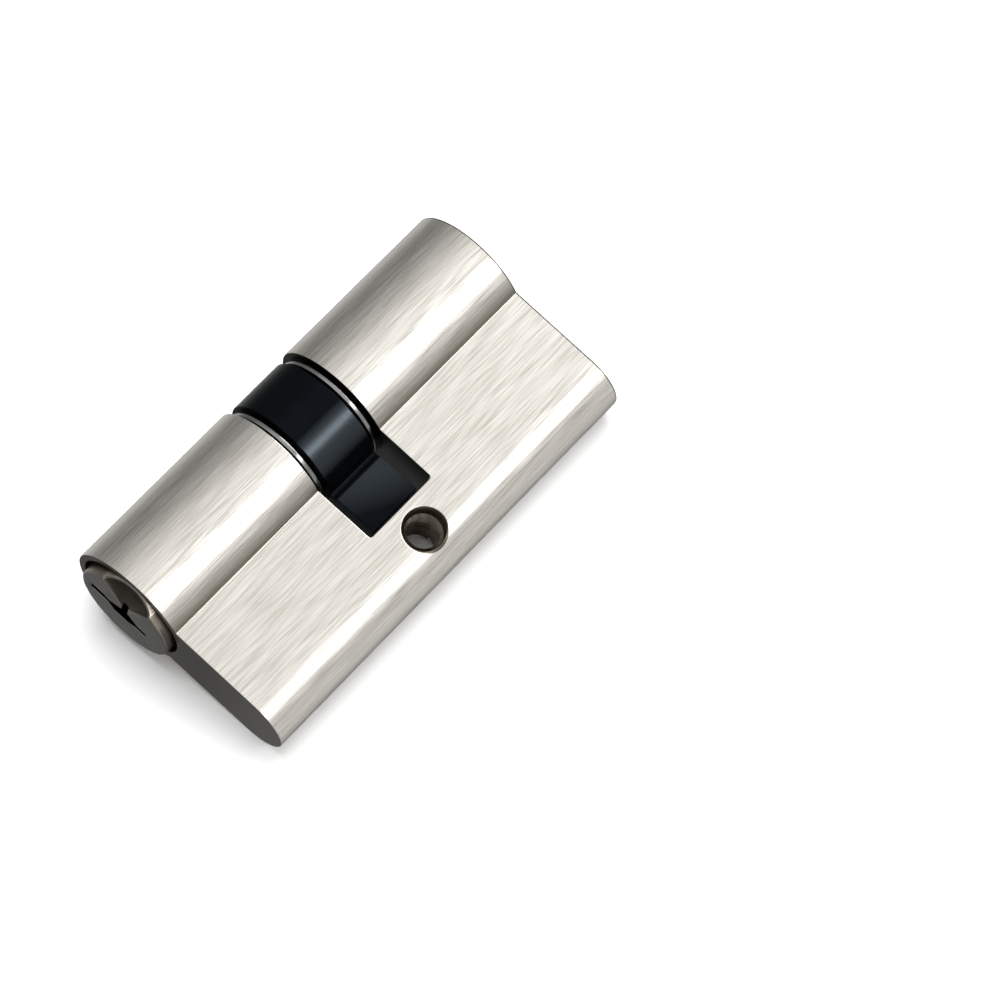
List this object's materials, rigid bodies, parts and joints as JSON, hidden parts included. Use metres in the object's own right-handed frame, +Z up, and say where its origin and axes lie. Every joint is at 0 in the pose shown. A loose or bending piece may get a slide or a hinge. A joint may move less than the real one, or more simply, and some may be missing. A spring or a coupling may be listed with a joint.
{
  "type": "euro cylinder",
  "caption": "Double-sided euro profile lock cylinder: keyed plugs at both ends turn a slotted barrel's black cam, with a threaded fixing hole in the flange.",
  "frame": {"origin": "on the ground under the middle of the bounding box, with the lock lying on its side on its barrel and its flange edge", "axes": "+X along the barrel from the front keyhole to the rear keyhole, +Y from the flange towards the barrel, +Z up"},
  "size_m": [0.0624, 0.0326, 0.017],
  "materials": {
    "satin_nickel": "satin nickel, brushed along the barrel",
    "plug_nickel": "darker satin nickel, turned",
    "black_cam": "black satin coating",
    "steel": "bright flat spring steel",
    "brass": "turned brass",
    "spring_steel": "drawn spring wire",
    "coupling_steel": "sintered steel"
  },
  "bodies": {
    "housing": {"housing": "satin_nickel", "front_pin_spring_1": "spring_steel", "front_stopper_1": "satin_nickel", "front_pin_spring_2": "spring_steel", "front_stopper_2": "satin_nickel", "front_pin_spring_3": "spring_steel", "front_stopper_3": "satin_nickel", "front_pin_spring_4": "spring_steel", "front_stopper_4": "satin_nickel", "front_pin_spring_5": "spring_steel", "front_stopper_5": "satin_nickel", "rear_pin_spring_1": "spring_steel", "rear_stopper_1": "satin_nickel", "rear_pin_spring_2": "spring_steel", "rear_stopper_2": "satin_nickel", "rear_pin_spring_3": "spring_steel", "rear_stopper_3": "satin_nickel", "rear_pin_spring_4": "spring_steel", "rear_stopper_4": "satin_nickel", "rear_pin_spring_5": "spring_steel", "rear_stopper_5": "satin_nickel"},
    "front_plug": {"front_plug": "plug_nickel", "front_circlip": "steel"},
    "rear_plug": {"rear_plug": "plug_nickel", "rear_circlip": "steel"},
    "cam": {"cam": "black_cam"},
    "coupling": {"front_coupling": "coupling_steel", "rear_coupling": "coupling_steel", "coupling_spring": "spring_steel"},
    "front_key_pin_1": {"front_key_pin_1": "brass"},
    "front_driver_pin_1": {"front_driver_pin_1": "brass"},
    "front_key_pin_2": {"front_key_pin_2": "brass"},
    "front_driver_pin_2": {"front_driver_pin_2": "brass"},
    "front_key_pin_3": {"front_key_pin_3": "brass"},
    "front_driver_pin_3": {"front_driver_pin_3": "brass"},
    "front_key_pin_4": {"front_key_pin_4": "brass"},
    "front_driver_pin_4": {"front_driver_pin_4": "brass"},
    "front_key_pin_5": {"front_key_pin_5": "brass"},
    "front_driver_pin_5": {"front_driver_pin_5": "brass"},
    "rear_key_pin_1": {"rear_key_pin_1": "brass"},
    "rear_driver_pin_1": {"rear_driver_pin_1": "brass"},
    "rear_key_pin_2": {"rear_key_pin_2": "brass"},
    "rear_driver_pin_2": {"rear_driver_pin_2": "brass"},
    "rear_key_pin_3": {"rear_key_pin_3": "brass"},
    "rear_driver_pin_3": {"rear_driver_pin_3": "brass"},
    "rear_key_pin_4": {"rear_key_pin_4": "brass"},
    "rear_driver_pin_4": {"rear_driver_pin_4": "brass"},
    "rear_key_pin_5": {"rear_key_pin_5": "brass"},
    "rear_driver_pin_5": {"rear_driver_pin_5": "brass"}
  },
  "joints": [
    {"name": "front_plug_turn", "type": "hinge", "parent": "housing", "child": "front_plug", "pos_m": [0.0004, 0.00784, 0.0085], "axis": [1, 0, 0], "continuous": true},
    {"name": "rear_plug_turn", "type": "hinge", "parent": "housing", "child": "rear_plug", "pos_m": [0.0004, 0.00784, 0.0085], "axis": [1, 0, 0], "continuous": true},
    {"name": "cam_turn", "type": "hinge", "parent": "housing", "child": "cam", "pos_m": [0.0004, 0.00784, 0.0085], "axis": [1, 0, 0], "continuous": true},
    {"name": "coupling_slide", "type": "slide", "parent": "cam", "child": "coupling", "axis": [1, 0, 0], "range_m": [0, 0.0014]},
    {"name": "front_key_pin_1_slide", "type": "slide", "parent": "front_plug", "child": "front_key_pin_1", "axis": [0, 0.9838, 0.1795], "range_m": [0, 0.0029]},
    {"name": "front_driver_pin_1_slide", "type": "slide", "parent": "housing", "child": "front_driver_pin_1", "axis": [0, -0.9838, -0.1795], "range_m": [0, 0.003], "stiffness_N_per_m": 60, "springref_m": -0.005, "deforming": ["front_pin_spring_1"]},
    {"name": "front_key_pin_2_slide", "type": "slide", "parent": "front_plug", "child": "front_key_pin_2", "axis": [0, 0.9838, 0.1795], "range_m": [0, 0.0019]},
    {"name": "front_driver_pin_2_slide", "type": "slide", "parent": "housing", "child": "front_driver_pin_2", "axis": [0, -0.9838, -0.1795], "range_m": [0, 0.003], "stiffness_N_per_m": 60, "springref_m": -0.005, "deforming": ["front_pin_spring_2"]},
    {"name": "front_key_pin_3_slide", "type": "slide", "parent": "front_plug", "child": "front_key_pin_3", "axis": [0, 0.9838, 0.1795], "range_m": [0, 0.0024]},
    {"name": "front_driver_pin_3_slide", "type": "slide", "parent": "housing", "child": "front_driver_pin_3", "axis": [0, -0.9838, -0.1795], "range_m": [0, 0.003], "stiffness_N_per_m": 60, "springref_m": -0.005, "deforming": ["front_pin_spring_3"]},
    {"name": "front_key_pin_4_slide", "type": "slide", "parent": "front_plug", "child": "front_key_pin_4", "axis": [0, 0.9838, 0.1795], "range_m": [0, 0.0014]},
    {"name": "front_driver_pin_4_slide", "type": "slide", "parent": "housing", "child": "front_driver_pin_4", "axis": [0, -0.9838, -0.1795], "range_m": [0, 0.003], "stiffness_N_per_m": 60, "springref_m": -0.005, "deforming": ["front_pin_spring_4"]},
    {"name": "front_key_pin_5_slide", "type": "slide", "parent": "front_plug", "child": "front_key_pin_5", "axis": [0, 0.9838, 0.1795], "range_m": [0, 0.00265]},
    {"name": "front_driver_pin_5_slide", "type": "slide", "parent": "housing", "child": "front_driver_pin_5", "axis": [0, -0.9838, -0.1795], "range_m": [0, 0.003], "stiffness_N_per_m": 60, "springref_m": -0.005, "deforming": ["front_pin_spring_5"]},
    {"name": "rear_key_pin_1_slide", "type": "slide", "parent": "rear_plug", "child": "rear_key_pin_1", "axis": [0, 0.9838, 0.1795], "range_m": [0, 0.0029]},
    {"name": "rear_driver_pin_1_slide", "type": "slide", "parent": "housing", "child": "rear_driver_pin_1", "axis": [0, -0.9838, -0.1795], "range_m": [0, 0.003], "stiffness_N_per_m": 60, "springref_m": -0.005, "deforming": ["rear_pin_spring_1"]},
    {"name": "rear_key_pin_2_slide", "type": "slide", "parent": "rear_plug", "child": "rear_key_pin_2", "axis": [0, 0.9838, 0.1795], "range_m": [0, 0.0019]},
    {"name": "rear_driver_pin_2_slide", "type": "slide", "parent": "housing", "child": "rear_driver_pin_2", "axis": [0, -0.9838, -0.1795], "range_m": [0, 0.003], "stiffness_N_per_m": 60, "springref_m": -0.005, "deforming": ["rear_pin_spring_2"]},
    {"name": "rear_key_pin_3_slide", "type": "slide", "parent": "rear_plug", "child": "rear_key_pin_3", "axis": [0, 0.9838, 0.1795], "range_m": [0, 0.0024]},
    {"name": "rear_driver_pin_3_slide", "type": "slide", "parent": "housing", "child": "rear_driver_pin_3", "axis": [0, -0.9838, -0.1795], "range_m": [0, 0.003], "stiffness_N_per_m": 60, "springref_m": -0.005, "deforming": ["rear_pin_spring_3"]},
    {"name": "rear_key_pin_4_slide", "type": "slide", "parent": "rear_plug", "child": "rear_key_pin_4", "axis": [0, 0.9838, 0.1795], "range_m": [0, 0.0014]},
    {"name": "rear_driver_pin_4_slide", "type": "slide", "parent": "housing", "child": "rear_driver_pin_4", "axis": [0, -0.9838, -0.1795], "range_m": [0, 0.003], "stiffness_N_per_m": 60, "springref_m": -0.005, "deforming": ["rear_pin_spring_4"]},
    {"name": "rear_key_pin_5_slide", "type": "slide", "parent": "rear_plug", "child": "rear_key_pin_5", "axis": [0, 0.9838, 0.1795], "range_m": [0, 0.00265]},
    {"name": "rear_driver_pin_5_slide", "type": "slide", "parent": "housing", "child": "rear_driver_pin_5", "axis": [0, -0.9838, -0.1795], "range_m": [0, 0.003], "stiffness_N_per_m": 60, "springref_m": -0.005, "deforming": ["rear_pin_spring_5"]}
  ],
  "couplings": [
    {"joint": "cam_turn", "follows": "front_plug_turn", "ratio": 1}
  ]
}
